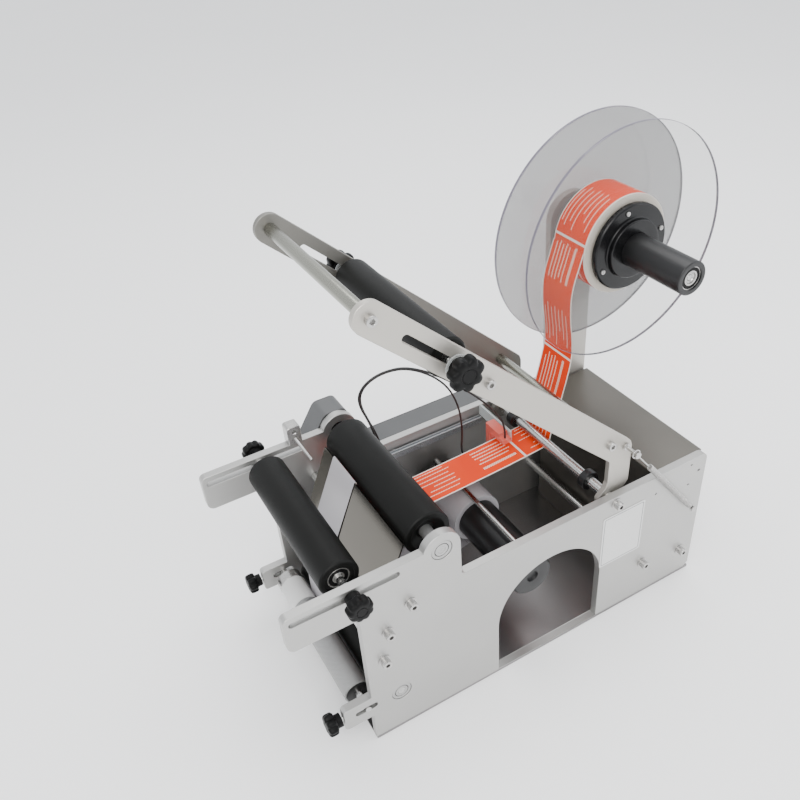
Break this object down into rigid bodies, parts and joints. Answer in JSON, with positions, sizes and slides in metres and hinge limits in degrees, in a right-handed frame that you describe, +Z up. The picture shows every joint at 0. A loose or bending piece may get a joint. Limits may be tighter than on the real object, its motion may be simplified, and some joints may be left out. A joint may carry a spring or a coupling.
{
  "type": "round-bottle labelling machine",
  "caption": "Semi-automatic bench-top labelling machine: rollers turn a round bottle while a hinged arm presses it and a reel feeds labels over a peel edge.",
  "frame": {"origin": "centre of the base plate's underside", "axes": "+Z up; +X rearwards, from the front rollers to the label reel; +Y from the operator's near side plate to the far plate with the drive casing"},
  "size_m": [0.582, 0.2728, 0.515],
  "materials": {
    "plate_aluminium": "satin bead-blasted",
    "steel_sheet": "brushed",
    "bright_steel": "polished",
    "screw_steel": "bright zinc",
    "dark_paint": "dark satin",
    "black_rubber": "matte",
    "black_plastic": "moulded",
    "black_anodised": "satin black",
    "clear_plastic": "clear polished",
    "sensor_plastic": "translucent red",
    "label_paper": "printed semi-gloss",
    "liner_paper": "glazed backing paper",
    "lead_jacket": "matte",
    "blank_label": "satin white",
    "board_green": "plain"
  },
  "bodies": {
    "frame": {"side_plate_near": "plate_aluminium", "side_plate_far": "plate_aluminium", "base_plate": "steel_sheet", "notice_plate": "blank_label", "tie_bars": "screw_steel", "guide_shaft": "bright_steel", "guide_collars": "black_anodised", "plate_screws": "screw_steel", "plate_bearings": "screw_steel", "peel_plate": "bright_steel", "rear_cover": "dark_paint", "power_entry": "black_plastic", "electronics": "board_green", "drive_cover": "dark_paint", "cover_screws": "screw_steel", "motor": "dark_paint", "timing_belt": "black_rubber", "label_web": "label_paper", "liner_web": "liner_paper", "sensor_rail": "screw_steel", "label_sensor": "sensor_plastic", "cable_gland": "black_plastic", "sensor_lead_upper": "lead_jacket", "sensor_lead_lower": "lead_jacket", "stop_clamp": "screw_steel", "spool_bracket": "plate_aluminium", "spool_axle": "bright_steel"},
    "power_switch": {"power_switch": "black_plastic"},
    "drive_roller": {"drive_roller": "black_rubber"},
    "traction_roller": {"traction_roller": "black_rubber"},
    "motor_rotor": {"motor_pulley": "plate_aluminium"},
    "rewinder": {"rewind_drum": "black_anodised", "rewind_clip": "bright_steel", "waste_roll": "liner_paper"},
    "reel": {"reel_sleeve": "black_anodised", "spool_bearings": "screw_steel", "reel_hub": "black_anodised", "reel_disc_near": "clear_plastic", "reel_disc_far": "clear_plastic", "label_roll": "label_paper"},
    "press_arm": {"press_arm_near": "plate_aluminium", "press_arm_far": "plate_aluminium", "press_crossbars": "screw_steel", "arm_screws": "screw_steel"},
    "press_carriage": {"press_axle": "bright_steel", "knob_washers": "clear_plastic"},
    "press_roller": {"press_roller": "black_rubber"},
    "press_knob_near": {"press_knob_near": "black_plastic"},
    "press_knob_far": {"press_knob_far": "black_plastic"},
    "front_carriage": {"front_axle": "bright_steel"},
    "front_roller": {"front_roller": "black_rubber", "front_roller_bearings": "screw_steel"},
    "front_knob_near": {"front_knob_near": "black_plastic"},
    "front_knob_far": {"front_knob_far": "black_plastic"},
    "pinch_carriage": {"pinch_axle": "bright_steel"},
    "pinch_roller": {"pinch_roller": "steel_sheet"},
    "tension_knob_near": {"tension_knob_near": "black_plastic"},
    "tension_knob_far": {"tension_knob_far": "black_plastic"},
    "spring": {"tension_spring": "bright_steel"},
    "spring_hook": {"spring_hook": "bright_steel"}
  },
  "joints": [
    {"name": "press_arm_pivot", "type": "hinge", "parent": "frame", "child": "press_arm", "pos_m": [0.0845, 0, 0.1715], "axis": [0, 1, 0], "range_deg": [-30, 0], "stiffness_Nm_per_rad": 2, "springref_deg": 91.67},
    {"name": "press_roller_slide", "type": "slide", "parent": "press_arm", "child": "press_carriage", "axis": [0.7265, 0, -0.6872], "range_m": [-0.056, 0.018]},
    {"name": "press_roller_spin", "type": "hinge", "parent": "press_carriage", "child": "press_roller", "pos_m": [-0.0945, 0, 0.4078], "axis": [0, 1, 0], "continuous": true},
    {"name": "press_knob_near_turn", "type": "hinge", "parent": "press_carriage", "child": "press_knob_near", "pos_m": [-0.0945, -0.0945, 0.4078], "axis": [0, -1, 0], "range_deg": [0, 360]},
    {"name": "press_knob_far_turn", "type": "hinge", "parent": "press_carriage", "child": "press_knob_far", "pos_m": [-0.0945, 0.0945, 0.4078], "axis": [0, 1, 0], "range_deg": [0, 360]},
    {"name": "front_roller_slide", "type": "slide", "parent": "frame", "child": "front_carriage", "axis": [1, 0, 0], "range_m": [-0.052, 0.021]},
    {"name": "front_roller_spin", "type": "hinge", "parent": "front_carriage", "child": "front_roller", "pos_m": [-0.2155, 0, 0.2204], "axis": [0, 1, 0], "continuous": true},
    {"name": "front_knob_near_turn", "type": "hinge", "parent": "front_carriage", "child": "front_knob_near", "pos_m": [-0.2155, -0.11, 0.2204], "axis": [0, -1, 0], "range_deg": [0, 360]},
    {"name": "front_knob_far_turn", "type": "hinge", "parent": "front_carriage", "child": "front_knob_far", "pos_m": [-0.2155, 0.11, 0.2204], "axis": [0, 1, 0], "range_deg": [0, 360]},
    {"name": "drive_roller_spin", "type": "hinge", "parent": "frame", "child": "drive_roller", "pos_m": [-0.1237, 0, 0.2242], "axis": [0, 1, 0], "continuous": true},
    {"name": "traction_roller_spin", "type": "hinge", "parent": "frame", "child": "traction_roller", "pos_m": [-0.179, 0, 0.0548], "axis": [0, 1, 0], "continuous": true},
    {"name": "motor_spin", "type": "hinge", "parent": "frame", "child": "motor_rotor", "pos_m": [-0.114, 0, 0.055], "axis": [0, 1, 0], "continuous": true},
    {"name": "pinch_slide", "type": "slide", "parent": "frame", "child": "pinch_carriage", "axis": [1, 0, 0], "range_m": [-0.009, 0]},
    {"name": "pinch_roller_spin", "type": "hinge", "parent": "pinch_carriage", "child": "pinch_roller", "pos_m": [-0.217, 0, 0.0558], "axis": [0, 1, 0], "continuous": true},
    {"name": "tension_knob_near_turn", "type": "hinge", "parent": "pinch_carriage", "child": "tension_knob_near", "pos_m": [-0.245, -0.1055, 0.0558], "axis": [-1, 0, 0], "range_deg": [0, 360]},
    {"name": "tension_knob_far_turn", "type": "hinge", "parent": "pinch_carriage", "child": "tension_knob_far", "pos_m": [-0.245, 0.1055, 0.0558], "axis": [-1, 0, 0], "range_deg": [0, 360]},
    {"name": "reel_spin", "type": "hinge", "parent": "frame", "child": "reel", "pos_m": [0.177, 0, 0.39], "axis": [0, 1, 0], "continuous": true},
    {"name": "rewind_spin", "type": "hinge", "parent": "frame", "child": "rewinder", "pos_m": [-0.009, 0, 0.104], "axis": [0, 1, 0], "continuous": true},
    {"name": "power_switch_rock", "type": "hinge", "parent": "frame", "child": "power_switch", "pos_m": [0.208, 0, 0.133], "axis": [0, 1, 0], "range_deg": [-8, 8]},
    {"name": "spring_swing", "type": "hinge", "parent": "frame", "child": "spring", "pos_m": [0.1937, -0.1165, 0.1123], "axis": [0, 1, 0], "range_deg": [-8.6, 0]},
    {"name": "spring_stretch", "type": "slide", "parent": "spring", "child": "spring_hook", "axis": [-0.6121, 0.0231, 0.7904], "range_m": [0, 0.022]}
  ],
  "couplings": [
    {"joint": "traction_roller_spin", "follows": "drive_roller_spin", "ratio": 1.0769},
    {"joint": "motor_spin", "follows": "drive_roller_spin", "ratio": 1.4},
    {"joint": "spring_swing", "follows": "press_arm_pivot", "ratio": 0.2833},
    {"joint": "spring_stretch", "follows": "press_arm_pivot", "m_per_rad": -0.04183}
  ]
}
